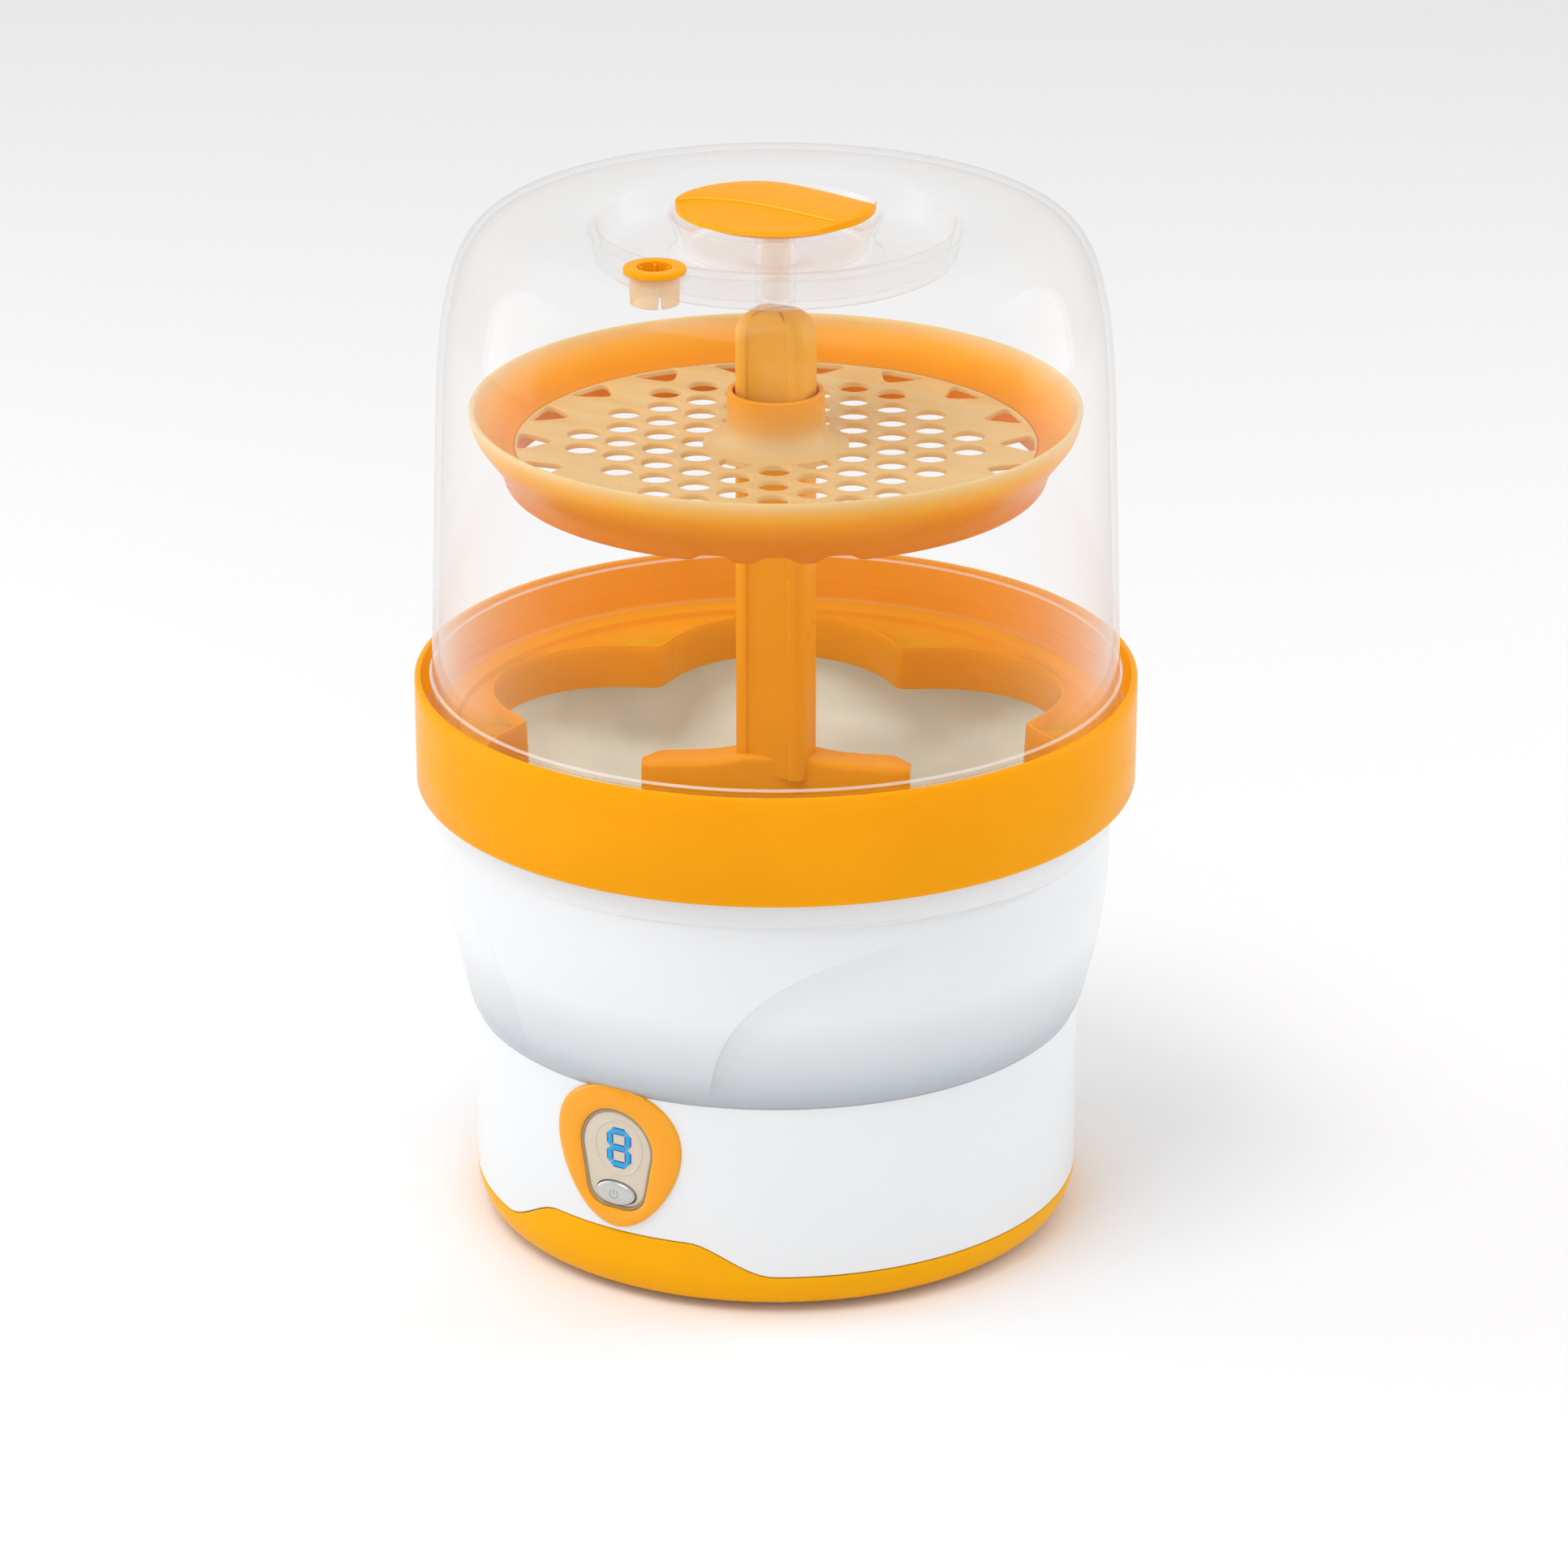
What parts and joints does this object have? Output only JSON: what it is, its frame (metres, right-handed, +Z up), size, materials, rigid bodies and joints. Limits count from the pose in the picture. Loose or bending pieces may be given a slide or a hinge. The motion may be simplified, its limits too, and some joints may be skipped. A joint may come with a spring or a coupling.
{
  "type": "bottle sterilizer",
  "caption": "Electric steam bottle sterilizer: round heated base with display and button, lobed bottle holder ring, centre post, perforated upper tray and clear lid with knob and vent.",
  "frame": {"origin": "centre of the footprint on the table, at the underside of the rubber feet", "axes": "+Z up along the centre line, display faces -Y, +X to the right seen from the front"},
  "size_m": [0.23, 0.23, 0.337],
  "materials": {
    "orange_plastic": "glossy, slightly translucent polypropylene",
    "white_plastic": "glossy",
    "clear_plastic": "clear polycarbonate",
    "reservoir_plastic": "satin",
    "window_plastic": "tinted, glossy",
    "steel": "brushed",
    "rubber": "matte",
    "dark_plastic": "matte",
    "pale_plastic": "matte",
    "wire_insulation": "woven glass sleeve",
    "circuit_board": "solder mask",
    "digit_display": "lit blue segments",
    "silver_button": "metallic silver lacquer",
    "blank_label": "blank silver label"
  },
  "bodies": {
    "base": {"base_tray": "orange_plastic", "lower_housing": "white_plastic", "upper_housing": "white_plastic", "reservoir_bowl": "reservoir_plastic", "heater_plate": "steel", "heater_seal": "rubber", "heater_element": "steel", "heater_clamp": "steel", "clamp_screw_1": "steel", "clamp_screw_2": "steel", "thermostat": "dark_plastic", "thermal_fuse": "dark_plastic", "control_board": "circuit_board", "board_screw_1": "steel", "board_screw_2": "steel", "board_screw_3": "steel", "board_screw_4": "steel", "transformer": "dark_plastic", "relay": "dark_plastic", "capacitor": "dark_plastic", "terminal_block": "pale_plastic", "buzzer": "dark_plastic", "heater_lead_1": "wire_insulation", "heater_lead_2": "wire_insulation", "display_bezel": "orange_plastic", "display_window": "window_plastic", "display_board": "circuit_board", "display_screw_1": "steel", "display_screw_2": "steel", "digit_module": "digit_display", "tact_switch": "dark_plastic", "cord_bush": "rubber", "rating_plate": "blank_label", "rubber_foot_1": "rubber", "rubber_foot_2": "rubber", "rubber_foot_3": "rubber", "rubber_foot_4": "rubber", "base_screw_1": "steel", "base_screw_2": "steel", "base_screw_3": "steel", "base_screw_4": "steel"},
    "button": {"power_button": "silver_button"},
    "ring": {"bottle_ring": "orange_plastic"},
    "post": {"centre_post": "orange_plastic"},
    "tray": {"upper_tray": "orange_plastic"},
    "lid": {"lid_dome": "clear_plastic", "lid_knob": "orange_plastic"},
    "vent": {"vent_plug": "orange_plastic"}
  },
  "joints": [
    {"name": "button_press", "type": "slide", "parent": "base", "child": "button", "axis": [0, 1, 0], "range_m": [0, 0.0012], "stiffness_N_per_m": 300},
    {"name": "ring_lift", "type": "slide", "parent": "base", "child": "ring", "axis": [0, 0, 1], "range_m": [0, 0.06]},
    {"name": "post_lift", "type": "slide", "parent": "ring", "child": "post", "axis": [0, 0, 1], "range_m": [0, 0.07]},
    {"name": "tray_lift", "type": "slide", "parent": "post", "child": "tray", "axis": [0, 0, 1], "range_m": [0, 0.06]},
    {"name": "lid_lift", "type": "slide", "parent": "tray", "child": "lid", "axis": [0, 0, 1], "range_m": [0, 0.14]},
    {"name": "vent_pull", "type": "slide", "parent": "lid", "child": "vent", "axis": [0, 0, 1], "range_m": [0, 0.015]}
  ]
}
